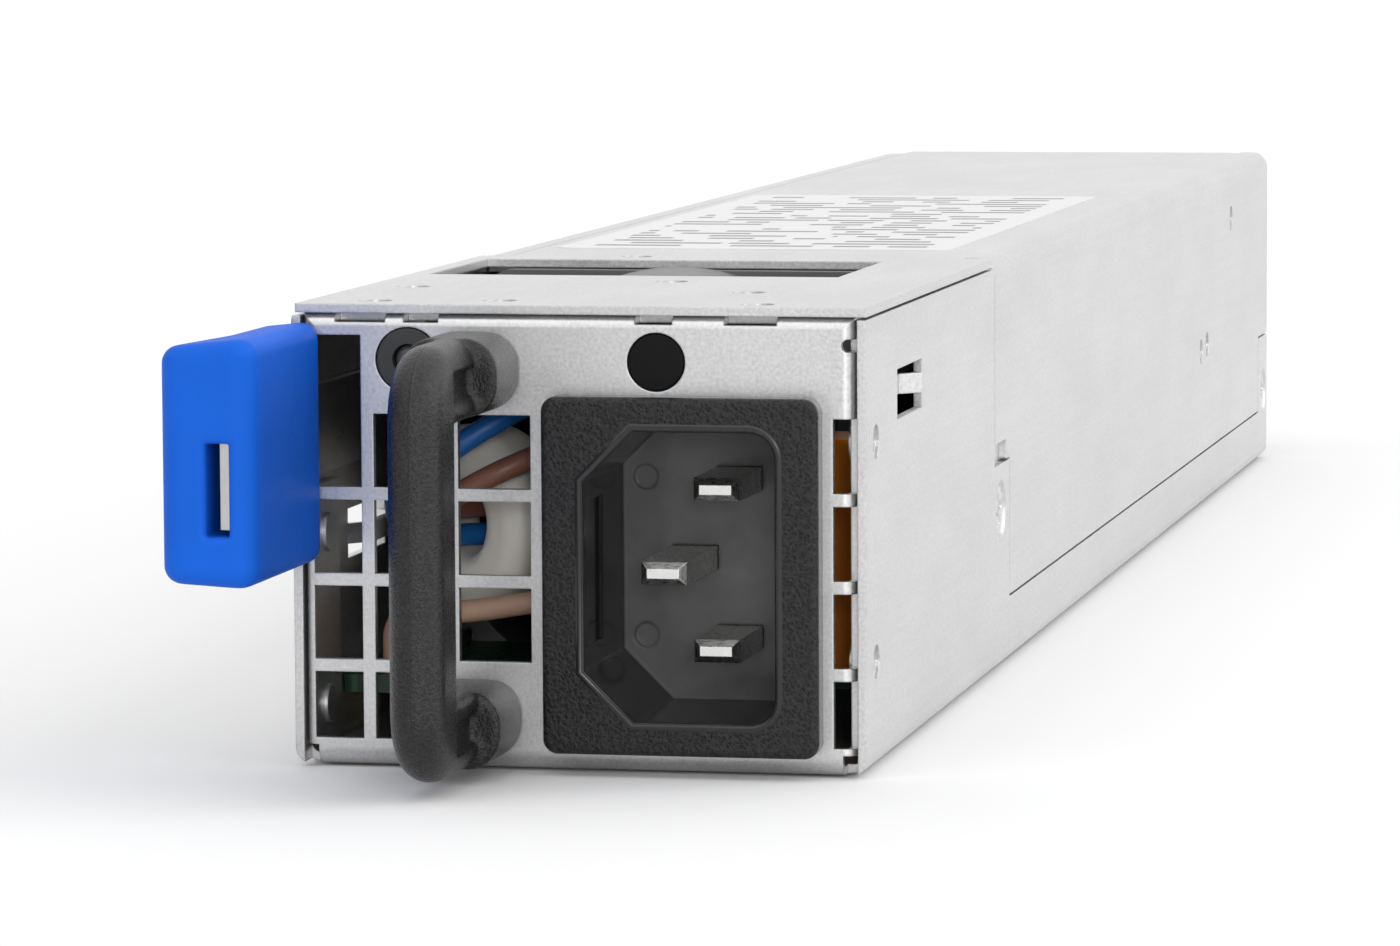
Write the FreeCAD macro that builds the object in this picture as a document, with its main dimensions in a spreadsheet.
import FreeCAD, Part
import Sketcher
import math
import os
import re

# A slide-in switching power supply: folded steel case with a grille panel, mains inlet, handle, latch,
# fan and boards. Millimetres. X is to the right seen from the panel, Y goes into the case, Z is up.
# Pieces are drawn with Y = 0 at the panel's front face, and their placement then puts the origin mid-base.

SIZES = {
    # Case
    "case_width": 50.5,
    "case_height": 40.2,
    "case_length": 300.0,
    "gauge": 0.8,
    "bend_radius": 1.6,
    "seam": 0.15,
    # Front panel
    "panel_edge_radius": 1.1,
    "flange_depth": 9.0,
    "top_flange_depth": 8.0,
    "relief_width": 1.3,
    "relief_depth": 2.4,
    "cell": 6.4,
    "rib": 1.1,
    "grille_margin": 1.05,
    "narrow_cell": 4.3,
    "low_cell": 5.8,
    "grille_base": 2.4,
    "edge_cell": 2.1,
    "edge_wrap": 2.2,
    "latch_opening_top": 37.5,
    "notch_depth": 2.2,
    "first_notch": -21.4,
    "first_notch_width": 4.5,
    "second_notch": -15.3,
    "second_notch_width": 3.1,
    "third_notch": 5.1,
    "third_notch_width": 3.3,
    "fourth_notch": 12.9,
    "fourth_notch_width": 4.6,
    "status_x": 7.0,
    "status_z": 35.4,
    "status_radius": 2.4,
    "led_x": -14.9,
    "led_radius": 2.7,
    # Flap and side screws
    "flap_front": 70.0,
    "flap_notch": 77.0,
    "flap_step": 79.3,
    "flap_notch_top": 22.2,
    "flap_step_top": 20.3,
    "flap_low": 6.8,
    "ear_length": 9.8,
    "ear_top": 16.5,
    "joggle_lap": 1.5,
    "flap_seam": 0.25,
    "flap_bend": 2.0,
    "screw_head_radius": 2.9,
    "screw_radius": 1.4,
    "screw_length": 4.0,
    "screw_fit": 0.05,
    "nut_radius": 2.35,
    "nut_length": 1.8,
    "front_screw_y": 73.7,
    "front_screw_z": 15.6,
    "rear_screw_inset": 4.2,
    "rear_screw_z": 9.0,
    # Cover
    "cover_inset": 0.35,
    "cover_step": 68.4,
    "left_flange": 3.15,
    "rear_corner": 8.0,
    "rear_flange": 6.0,
    "rear_relief": 3.4,
    "dimple_radius": 1.5,
    "dimple_depth": 0.35,
    # Lanced bridges in the side walls
    "lance_front": 15.3,
    "lance_length": 13.1,
    "lance_height": 4.4,
    "lance_strip": 1.8,
    "lance_press": 1.8,
    "right_lance_z": 31.6,
    "left_lance_z": 18.6,
    # Clinched joints of the panel's flanges
    "clinch_y": 4.7,
    "clinch_radius": 1.5,
    "clinch_button": 0.35,
    "right_clinch_low": 9.4,
    "right_clinch_high": 28.4,
    "left_clinch_low": 4.8,
    "left_clinch_high": 19.9,
    # Inlet
    "inlet_x": 9.4,
    "inlet_z": 17.15,
    "inlet_flange_width": 24.1,
    "inlet_flange_height": 30.8,
    "inlet_flange": 2.6,
    "inlet_body_width": 19.4,
    "inlet_body_height": 27.6,
    "inlet_body_depth": 18.0,
    "inlet_fit": 0.15,
    "mouth_width": 16.9,
    "mouth_height": 25.2,
    "mouth_depth": 17.0,
    "mouth_chamfer": 4.4,
    "mouth_corner": 2.4,
    "pin_width": 4.0,
    "pin_thick": 2.0,
    "pin_pitch": 14.0,
    "pin_row": 4.0,
    "pin_bevel": 0.6,
    "pin_fit": 0.05,
    "pin_recess": 6.0,
    "earth_recess": 3.0,
    "pin_tail": 7.0,
    # Handle
    "handle_x": -9.2,
    "handle_margin": 5.05,
    "handle_reach": 22.0,
    "handle_drop": 0.6,
    "handle_width": 4.8,
    "handle_depth": 6.4,
    "leg_height": 6.8,
    "handle_outer_bend": 6.4,
    "handle_inner_bend": 2.4,
    "handle_edge": 1.9,
    "foot_radius": 4.2,
    "foot_depth": 8.5,
    "leg_recess": 1.2,
    "leg_rim": 1.5,
    "handle_screw_radius": 1.2,
    "handle_screw_grip": 5.5,
    "handle_screw_head": 2.4,
    # Release latch
    "arm_gap": 0.3,
    "arm_low": 25.2,
    "arm_high": 33.0,
    "pivot_y": 34.0,
    "foot_plate_length": 12.0,
    "hinge_gap": 0.1,
    "head_low": 22.6,
    "head_high": 30.0,
    "joggle_out": 1.65,
    "joggle_front": -0.4,
    "joggle_length": 3.0,
    "hook_front": 5.5,
    "hook_rear": 12.5,
    "hook_reach": 1.7,
    "hook_low": 26.4,
    "hook_high": 31.8,
    "hook_room": 0.5,
    "rivet_radius": 1.4,
    "rivet_head": 0.5,
    "tab_out": 6.15,
    "tab_waist_out": 2.95,
    "tab_in": 2.35,
    "tab_front": 21.5,
    "tab_waist_y": 11.4,
    "tab_gap": 0.4,
    "tab_low": 17.8,
    "tab_high": 38.5,
    "tab_draft": 0.9,
    "tab_low_draft": 0.5,
    "tab_corner": 1.8,
    "tab_round": 1.3,
    "slot_out": 1.85,
    "slot_in": 0.6,
    "tab_slot_low": 21.85,
    "tab_slot_high": 30.1,
    "tab_fit": 0.1,
    # Fan
    "fan_gap": 1.65,
    "fan_room": 0.6,
    "fan_lift": 0.5,
    "fan_rim": 1.0,
    "fan_front": 37.5,
    "fan_depth": 28.0,
    "fan_wall": 1.4,
    "fan_plate": 4.0,
    "fan_corner": 2.5,
    "fan_hole_inset": 3.0,
    "fan_hole": 1.7,
    "fan_slot_side": 0.3,
    "fan_slot_front": 40.0,
    "fan_slot_rear": 63.5,
    "motor_radius": 9.5,
    "motor_base": 3.0,
    "strut": 2.2,
    "hub_wall": 1.2,
    "hub_front": 3.0,
    "hub_gap": 1.2,
    "blade_tip_gap": 0.6,
    "blade_front": 4.0,
    "blade_rear": 23.0,
    "blade_sweep": 4.6,
    "blade_thick": 1.0,
    "blades": 7,
    "shaft_radius": 1.5,
    "bearing_fit": 0.03,
    "bearing_radius": 2.7,
    "tube_radius": 3.7,
    "stator_radius": 7.6,
    # Boards
    "board_thick": 1.6,
    "board_low": 5.0,
    "board_gap": 0.85,
    "filter_front": 10.5,
    "filter_step": 19.5,
    "filter_rear": 36.0,
    "main_front": 68.5,
    "board_rear_gap": 3.0,
    "card_width": 34.0,
    "card_reach": 10.0,
    "card_slot_room": 0.6,
    "standoff_radius": 2.6,
    "board_screw_radius": 1.2,
    "board_screw_head": 2.4,
    "board_screw_height": 1.6,
    "film": 0.4,
    # Parts on the boards
    "core_x": -15.2,
    "core_front": 17.1,
    "core_z": 19.6,
    "core_turn": 35.0,
    "core_thick": 7.0,
    "core_outer": 8.6,
    "core_inner": 3.1,
    "core_round": 2.2,
    "xcap_left": 14.0,
    "xcap_right": 22.4,
    "xcap_front": 20.2,
    "xcap_depth": 9.0,
    "xcap_height": 20.5,
    "wire_radius": 1.0,
    "choke_x": -8.0,
    "choke_front": 82.0,
    "choke_thick": 11.0,
    "choke_outer": 12.0,
    "choke_inner": 6.0,
    "winding": 1.6,
    "winding_angle": 140.0,
    "inductor_rear": 59.0,
    "relay_left": 9.0,
    "relay_width": 13.0,
    "relay_front": 84.0,
    "relay_length": 19.0,
    "relay_height": 15.5,
    "bulk_x": -5.0,
    "bulk_radius": 14.0,
    "bulk_length": 42.0,
    "bulk_front": 106.0,
    "bulk_pitch": 45.0,
    "sink_left": 14.0,
    "sink_thick": 2.4,
    "sink_height": 27.0,
    "fin_reach": 5.0,
    "fin_thick": 1.4,
    "fin_pitch": 4.4,
    "first_sink_front": 104.0,
    "second_sink_rear": 110.0,
    "sink_fins": 15,
    "device_thick": 4.6,
    "device_width": 10.2,
    "device_height": 15.0,
    "device_lift": 4.0,
    "device_pitch": 15.5,
    "transformer_x": -8.0,
    "transformer_rear": 97.0,
    "transformer_depth": 30.0,
    "transformer_width": 29.0,
    "transformer_height": 27.0,
    "core_leg": 6.0,
    "core_depth": 16.0,
    "can_radius": 5.0,
    "can_height": 20.0,
    "can_pitch": 10.6,
    "can_rear": 36.0,
    "control_front": 110.0,
    "control_length": 52.0,
    "control_height": 24.0,
}

doc = FreeCAD.newDocument("power_supply")
sheet = doc.addObject("Spreadsheet::Sheet", "Sizes")
for row, (name, amount) in enumerate(SIZES.items(), start=1):
    sheet.set(f"A{row}", name)
    sheet.set(f"B{row}", str(amount))
    sheet.setAlias(f"B{row}", name)
doc.recompute()

nodes = []

# Places that many pieces share, as expressions of the sizes
LEFT = "(-case_width / 2)"
RIGHT = "(case_width / 2)"
IN_LEFT = "(-case_width / 2 + gauge)"
IN_RIGHT = "(case_width / 2 - gauge)"
JOGGLE_IN = "(case_width / 2 - 2 * gauge)"
UNDER_COVER = "(case_height - gauge)"
WALL_TOP = "(case_height - gauge - flap_seam)"
HANDLE_PITCH = "(case_height - 2 * handle_margin)"
FAN_SIDE = "(case_height - 2 * gauge - fan_room)"
FAN_BORE = f"({FAN_SIDE} / 2 - fan_rim)"
FAN_X = f"({IN_LEFT} + fan_gap + {FAN_SIDE} / 2)"
FAN_Z = f"(gauge + fan_lift + {FAN_SIDE} / 2)"
BOARD_TOP = "(board_low + board_thick)"
FRONT = "-case_length / 2"
TOLERANCE = 0.01


def bound(text):
    """An expression with each size's name pointed at the sheet."""
    return re.sub(r"[a-z_]+", lambda word: "Sizes." + word[0] if word[0] in SIZES else word[0], str(text))


def size(name):
    """A size as a plain number."""
    return float(sheet.get(name))


def keep(piece, label):
    """Names a finished piece as a node of the part."""
    piece.Label = label
    nodes.append(piece)
    return piece


def new_body(label, x="0", y="0", z="0"):
    """An empty body, placed behind the panel's front face."""
    body = doc.addObject("PartDesign::Body", label)
    body.setExpression("Placement.Base.x", bound(x))
    body.setExpression("Placement.Base.y", bound(f"{FRONT} + {y}"))
    body.setExpression("Placement.Base.z", bound(z))
    return keep(body, label)


def new_sketch(body, role, offset="0"):
    """A sketch on one of the body's own planes, moved along the plane's normal."""
    sketch = body.newObject("Sketcher::SketchObject", "Sketch")
    support = next(item for item in body.Origin.OriginFeatures if item.Role == role)
    sketch.AttachmentSupport = [(support, "")]
    sketch.MapMode = "FlatFace"
    sketch.setExpression("AttachmentOffset.Base.z", bound(offset))
    return sketch


def fix_point(sketch, geometry, point, across, up):
    """Ties a point of the sketch to two expressions."""
    for kind, text in (("DistanceX", across), ("DistanceY", up)):
        index = sketch.addConstraint(Sketcher.Constraint(kind, -1, 1, geometry, point, 1.0))
        sketch.setExpression(f"Constraints[{index}]", bound(text))


def polygon(sketch, points):
    """A closed outline through points given as pairs of expressions."""
    count = len(points)
    turn = 2 * math.pi / count
    start = [FreeCAD.Vector(math.cos(turn * step), math.sin(turn * step), 0) for step in range(count)]
    lines = []
    for step in range(count):
        line = Part.LineSegment(start[step], start[(step + 1) % count])
        lines.append(sketch.addGeometry(line, False))
    for step in range(count):
        following = lines[(step + 1) % count]
        sketch.addConstraint(Sketcher.Constraint("Coincident", lines[step], 2, following, 1))
    for line, (across, up) in zip(lines, points):
        fix_point(sketch, line, 1, across, up)


def rectangle(sketch, left, right, low, high):
    """A rectangle between four expressions."""
    polygon(sketch, [(left, low), (right, low), (right, high), (left, high)])


def circle(sketch, across, up, radius):
    """A circle whose centre and radius are expressions."""
    ring = sketch.addGeometry(Part.Circle(FreeCAD.Vector(0, 0, 0), FreeCAD.Vector(0, 0, 1), 1.0), False)
    fix_point(sketch, ring, 3, across, up)
    index = sketch.addConstraint(Sketcher.Constraint("Radius", ring, 1.0))
    sketch.setExpression(f"Constraints[{index}]", bound(radius))


def extrude(body, kind, sketch, length, reverse):
    """A pad or a pocket of a sketch."""
    feature = body.newObject("PartDesign::" + kind, kind)
    feature.Profile = sketch
    feature.setExpression("Length", bound(length))
    feature.Reversed = reverse
    doc.recompute()
    return feature


def pad(body, sketch, length, reverse=False):
    return extrude(body, "Pad", sketch, length, reverse)


def pocket(body, sketch, length, reverse=False):
    before = body.Shape.Volume
    feature = extrude(body, "Pocket", sketch, length, reverse)
    if not feature.Shape.Volume < before:
        raise ValueError(f"a pocket of {body.Label} cuts nothing")
    return feature


def turned(body, sketch, axis):
    """A full revolution of a sketch about one of the body's axes."""
    feature = body.newObject("PartDesign::Revolution", "Revolution")
    feature.Profile = sketch
    feature.ReferenceAxis = (next(item for item in body.Origin.OriginFeatures if item.Role == axis), [""])
    doc.recompute()
    return feature


def within(low, high, limit):
    """Whether a span lies at a limit: none, one place, or a pair of bounds."""
    if limit is None:
        return True
    lowest, highest = limit if isinstance(limit, tuple) else (limit, limit)
    return low > lowest - TOLERANCE and high < highest + TOLERANCE


def edges_at(body, x=None, y=None, z=None):
    """Names of the body's edges that lie within the given limits."""
    names = []
    for index, edge in enumerate(body.Tip.Shape.Edges, start=1):
        box = edge.BoundBox
        spans = ((box.XMin, box.XMax, x), (box.YMin, box.YMax, y), (box.ZMin, box.ZMax, z))
        if all(within(*span) for span in spans):
            names.append(f"Edge{index}")
    return names


def dress(body, kind, names, amount):
    """A fillet or a chamfer of the named edges."""
    feature = body.newObject("PartDesign::" + kind, kind)
    feature.Base = (feature.BaseFeature or body.Tip, names)
    feature.setExpression("Radius" if kind == "Fillet" else "Size", bound(amount))
    doc.recompute()
    return feature


def fillet(body, names, radius):
    return dress(body, "Fillet", names, radius)


def chamfer(body, names, amount):
    return dress(body, "Chamfer", names, amount)


def primitive(kind, label, place, turn=None, **sizes):
    """A basic solid whose sizes and place are expressions; turn is its rotation."""
    solid = doc.addObject("Part::" + kind, label)
    for name, text in sizes.items():
        solid.setExpression(name, bound(text))
    if turn:
        solid.Placement.Rotation = turn
    for axis, text in zip("xyz", place):
        solid.setExpression(f"Placement.Base.{axis}", bound(f"{FRONT} + {text}" if axis == "y" else text))
    return solid


def block(label, across, deep, up):
    """A box between three pairs of expressions."""
    return primitive(
        "Box", label, (across[0], deep[0], up[0]),
        Length=f"{across[1]} - {across[0]}", Width=f"{deep[1]} - {deep[0]}", Height=f"{up[1]} - {up[0]}",
    )


ALONG_Y = FreeCAD.Rotation(FreeCAD.Vector(1, 0, 0), -90)
ALONG_X = FreeCAD.Rotation(FreeCAD.Vector(0, 1, 0), 90)


def rod(label, place, radius, length, turn=None):
    """A cylinder along Z, or along the axis that turn gives it."""
    return primitive("Cylinder", label, place, turn, Radius=radius, Height=length)


def join(label, first, second):
    union = doc.addObject("Part::Fuse", label)
    union.Base = first
    union.Tool = second
    return union


def cut(label, first, second):
    difference = doc.addObject("Part::Cut", label)
    difference.Base = first
    difference.Tool = second
    return difference


def group(label, members):
    """Separate solids that share one node."""
    compound = doc.addObject("Part::Compound", label)
    compound.Links = members
    return keep(compound, label)


# Grille: columns and rows as pairs of expressions, worked out from the cell and the rib
NARROW = (f"{IN_LEFT} + grille_margin", f"{IN_LEFT} + grille_margin + narrow_cell")
SECOND = (f"{NARROW[1]} + rib", f"{NARROW[1]} + rib + cell")
THIRD = (f"{SECOND[1]} + rib", f"{SECOND[1]} + rib + cell")
EDGE = (f"{IN_RIGHT} - edge_cell", IN_RIGHT)


def grille_row(step):
    """Low and high edge of a row, counted from the lowest."""
    if step == 0:
        return "grille_base", "grille_base + low_cell"
    low = f"grille_base + low_cell + rib + {step - 1} * (cell + rib)"
    return low, f"{low} + cell"


ROWS = [grille_row(step) for step in range(4)]


def fold_tray(body):
    """Floor and side walls of one sheet, with rounded bends."""
    profile = new_sketch(body, "XZ_Plane")
    polygon(profile, [
        (LEFT, WALL_TOP), (LEFT, "0"), (RIGHT, "0"), (RIGHT, WALL_TOP),
        (IN_RIGHT, WALL_TOP), (IN_RIGHT, "gauge"), (IN_LEFT, "gauge"), (IN_LEFT, WALL_TOP),
    ])
    pad(body, profile, "case_length", reverse=True)
    half = size("case_width") / 2
    inner = half - size("gauge")
    fillet(body, edges_at(body, x=-half, z=0) + edges_at(body, x=half, z=0), "bend_radius")
    floor = size("gauge")
    fillet(body, edges_at(body, x=-inner, z=floor) + edges_at(body, x=inner, z=floor), "bend_radius - gauge")


def fold_panel(body):
    """Front panel folded up from the floor, with flanges turned back at its sides and top."""
    panel = new_sketch(body, "XZ_Plane")
    rectangle(panel, f"{IN_LEFT} + seam", f"{IN_RIGHT} - seam", "0", UNDER_COVER)
    pad(body, panel, "gauge", reverse=True)
    sides = new_sketch(body, "XZ_Plane")
    rectangle(sides, f"{IN_LEFT} + seam", f"{IN_LEFT} + seam + gauge", "bend_radius", UNDER_COVER)
    rectangle(sides, f"{IN_RIGHT} - seam - gauge", f"{IN_RIGHT} - seam", "bend_radius", UNDER_COVER)
    pad(body, sides, "flange_depth", reverse=True)
    top = new_sketch(body, "XZ_Plane")
    rectangle(top, f"{IN_LEFT} + seam", f"{IN_RIGHT} - seam", f"{UNDER_COVER} - gauge", UNDER_COVER)
    pad(body, top, "top_flange_depth", reverse=True)
    reliefs = new_sketch(body, "XZ_Plane")
    for side in (-1, 1):
        outer = f"{side} * (case_width / 2 - gauge)"
        rectangle(reliefs, outer, f"{outer} - {side} * relief_width", "-gauge", "bend_radius + gauge / 4")
    pocket(body, reliefs, "relief_depth")
    edge = size("case_width") / 2 - size("gauge") - size("seam")
    top_z = size("case_height") - size("gauge")
    corners = [name for side in (-edge, edge) for name in edges_at(body, x=side, y=0)]
    fillet(body, corners + edges_at(body, y=0, z=top_z, x=(-edge, edge)), "panel_edge_radius")
    bottom = edge + size("seam") - size("relief_width")
    fillet(body, edges_at(body, x=(-bottom, bottom), y=0, z=0), "bend_radius")


def punch_panel(body):
    """Grille, inlet cut-out, window holes, handle holes and the bend notches."""
    holes = new_sketch(body, "XZ_Plane")
    for low, high in ROWS[:3]:
        rectangle(holes, *NARROW, low, high)
    for low, high in ROWS:
        rectangle(holes, *SECOND, low, high)
    for low, high in ROWS[1:]:
        rectangle(holes, *THIRD, low, high)
    half_width = "(inlet_body_width / 2 + inlet_fit)"
    half_height = "(inlet_body_height / 2 + inlet_fit)"
    rectangle(holes, f"inlet_x - {half_width}", f"inlet_x + {half_width}",
              f"inlet_z - {half_height}", f"inlet_z + {half_height}")
    circle(holes, "status_x", "status_z", "status_radius + seam")
    circle(holes, "led_x", "status_z", "led_radius + seam")
    for side in (-1, 1):
        height = f"case_height / 2 + {side} * {HANDLE_PITCH} / 2"
        circle(holes, "handle_x", height, "handle_screw_radius + seam")
    pocket(body, holes, "gauge")
    edges = new_sketch(body, "XZ_Plane")
    for low, high in ROWS:
        rectangle(edges, *EDGE, low, high)
    slot_end = f"{IN_RIGHT} - gauge"
    rectangle(edges, slot_end, IN_RIGHT, "latch_opening_top - rib", "latch_opening_top")
    pocket(body, edges, "edge_wrap")
    rounded = new_sketch(body, "XZ_Plane")
    circle(rounded, slot_end, "latch_opening_top - rib / 2", "rib / 2")
    pocket(body, rounded, "edge_wrap")
    passage = new_sketch(body, "XZ_Plane")
    rectangle(passage, IN_LEFT, NARROW[1], ROWS[3][0], "latch_opening_top")
    pocket(body, passage, "flange_depth")
    notches = new_sketch(body, "XZ_Plane")
    for left, right in NOTCHES:
        rectangle(notches, left, right, f"{UNDER_COVER} - gauge", f"{UNDER_COVER} + gauge")
    pocket(body, notches, "notch_depth")


# Notches in the panel's top bend
NOTCHES = [
    (f"{order}_notch", f"{order}_notch + {order}_notch_width")
    for order in ("first", "second", "third", "fourth")
]

# The flap's outline on the right wall, without its upper edge; the wall is set back behind it
REAR_NOTCH = "(case_length - ear_length)"


def joggle_right_wall(body):
    """The right wall is set back by one sheet where the cover's flap lies on it."""
    recess = new_sketch(body, "YZ_Plane", RIGHT)
    polygon(recess, [
        ("flap_front - flap_seam", UNDER_COVER), ("flap_front - flap_seam", "flap_step_top - flap_seam"),
        ("flap_step - flap_seam", "flap_step_top - flap_seam"),
        ("flap_step - flap_seam", "flap_low - flap_seam"),
        (f"{REAR_NOTCH} + flap_seam", "flap_low - flap_seam"),
        (f"{REAR_NOTCH} + flap_seam", "ear_top - flap_seam"),
        ("case_length", "ear_top - flap_seam"), ("case_length", UNDER_COVER),
    ])
    pocket(body, recess, "gauge")
    behind_top = "case_height - flap_bend - seam"
    behind = new_sketch(body, "YZ_Plane", JOGGLE_IN)
    polygon(behind, [
        ("flap_front - joggle_lap", behind_top),
        ("flap_front - joggle_lap", "flap_step_top - joggle_lap"),
        ("flap_step - joggle_lap", "flap_step_top - joggle_lap"),
        ("flap_step - joggle_lap", "flap_low - joggle_lap"),
        ("case_length", "flap_low - joggle_lap"), ("case_length", behind_top),
    ])
    pad(body, behind, "gauge")


def fold_left_flange(body):
    """The left wall's top turns inwards beside the cover plate."""
    flange = new_sketch(body, "XZ_Plane", "-(cover_step + seam)")
    polygon(flange, [
        (LEFT, WALL_TOP), (IN_LEFT, WALL_TOP), (IN_LEFT, UNDER_COVER),
        (f"{LEFT} + left_flange", UNDER_COVER), (f"{LEFT} + left_flange", "case_height"),
        (LEFT, "case_height"),
    ])
    pad(body, flange, "case_length - rear_corner - cover_step - seam", reverse=True)
    edge = edges_at(body, x=-size("case_width") / 2, z=size("case_height"))
    fillet(body, edge, "bend_radius")


def raise_rear_wall(body):
    """Rear wall with the card slot and a grid of vents."""
    wall = new_sketch(body, "XZ_Plane", "-(case_length - 2 * gauge - seam)")
    rectangle(wall, IN_LEFT, JOGGLE_IN, "gauge / 2", f"{UNDER_COVER} - seam")
    pad(body, wall, "gauge", reverse=True)
    holes = new_sketch(body, "XZ_Plane", "-(case_length - 2 * gauge - seam)")
    rectangle(holes, "-card_width / 2 - card_slot_room", "card_width / 2 + card_slot_room",
              "board_low - card_slot_room", f"{BOARD_TOP} + card_slot_room")
    for low, high in ROWS[1:]:
        for column in range(-2, 3):
            centre = f"{column} * (cell + rib)"
            rectangle(holes, f"{centre} - cell / 2", f"{centre} + cell / 2", f"{low} + rib", f"{high} + rib")
    pocket(body, holes, "gauge")


def lance_wall(body, side, height):
    """Two slots in a side wall with the strip between them pressed inwards."""
    outer = f"({side} * case_width / 2)"
    inward = f"{-side} * "
    slots = new_sketch(body, "YZ_Plane", outer)
    rectangle(slots, "lance_front", "lance_front + lance_length",
              f"{height} - lance_height / 2", f"{height} + lance_height / 2")
    pocket(body, slots, "gauge", reverse=side < 0)
    strip = new_sketch(body, "XY_Plane", f"{height} - lance_strip / 2")
    rear = "(lance_front + lance_length)"
    pressed = f"({outer} + {inward}lance_press)"
    polygon(strip, [
        (outer, "lance_front"), (pressed, "lance_front + lance_press"), (pressed, f"{rear} - lance_press"),
        (outer, rear), (f"{outer} + {inward}gauge", f"{rear} + gauge / 2"),
        (f"{pressed} + {inward}gauge", f"{rear} - lance_press"),
        (f"{pressed} + {inward}gauge", "lance_front + lance_press"),
        (f"{outer} + {inward}gauge", "lance_front - gauge / 2"),
    ])
    pad(body, strip, "lance_strip")


def clinch_flange(body, side, heights):
    """Round clinched joints: a dimple outside and a button inside."""
    dimples = new_sketch(body, "YZ_Plane", f"{side} * case_width / 2")
    for height in heights:
        circle(dimples, "clinch_y", height, "clinch_radius")
    pocket(body, dimples, "gauge / 2", reverse=side < 0)
    buttons = new_sketch(body, "YZ_Plane", f"{side} * (case_width / 2 - gauge / 2)")
    for height in heights:
        circle(buttons, "clinch_y", height, "clinch_radius + gauge / 4")
    pad(body, buttons, "1.5 * gauge + seam + clinch_button", reverse=side > 0)


SIDE_SCREWS = [
    ("front_screw_y", "front_screw_z", "gauge"),
    ("case_length - rear_screw_inset", "rear_screw_z", "2 * gauge"),
]


def screw_holes(body):
    """Pressed nuts inside the right wall and countersunk holes through it."""
    for deep, up, wall in SIDE_SCREWS:
        nut = new_sketch(body, "YZ_Plane", f"{RIGHT} - {wall}")
        circle(nut, deep, up, "nut_radius")
        pad(body, nut, "nut_length", reverse=True)
    centres = new_sketch(body, "YZ_Plane", RIGHT)
    for deep, up, wall in SIDE_SCREWS:
        circle(centres, deep, up, "screw_radius")
    doc.recompute()
    hole = body.newObject("PartDesign::Hole", "Hole")
    hole.Profile = centres
    hole.DepthType = "Dimension"
    hole.setExpression("Depth", bound("screw_length + 2 * gauge"))
    hole.setExpression("Diameter", bound("2 * (screw_radius + screw_fit)"))
    hole.HoleCutType = "Countersink"
    hole.setExpression("HoleCutDiameter", bound("2 * (screw_head_radius + screw_fit)"))
    hole.HoleCutCountersinkAngle = 90
    doc.recompute()


def hook_window(body):
    """Window in the left wall that the latch's hook comes out of."""
    window = new_sketch(body, "YZ_Plane", LEFT)
    rectangle(window, "hook_front - hook_room", "hook_rear + hook_room",
              "hook_low - hook_room", "hook_high + hook_room")
    pocket(body, window, "gauge", reverse=True)


def make_chassis():
    body = new_body("chassis")
    fold_tray(body)
    fold_panel(body)
    punch_panel(body)
    joggle_right_wall(body)
    fold_left_flange(body)
    raise_rear_wall(body)
    lance_wall(body, 1, "right_lance_z")
    lance_wall(body, -1, "left_lance_z")
    clinch_flange(body, 1, ("right_clinch_low", "right_clinch_high"))
    clinch_flange(body, -1, ("left_clinch_low", "left_clinch_high"))
    screw_holes(body)
    hook_window(body)


# Clinch marks of the cover: those of the plate from its front edge, those of the flap from its rear edge
PLATE_MARKS = [(-18.8, 4.2), (-8.0, 5.6), (15.2, 3.4), (11.4, 18.5), (-20.1, 22.7), (1.6, 32.3), (-9.5, 68.4)]
FLAP_MARKS = [(40.0, 33.7), (70.0, 19.1), (64.2, 19.6)]


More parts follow.
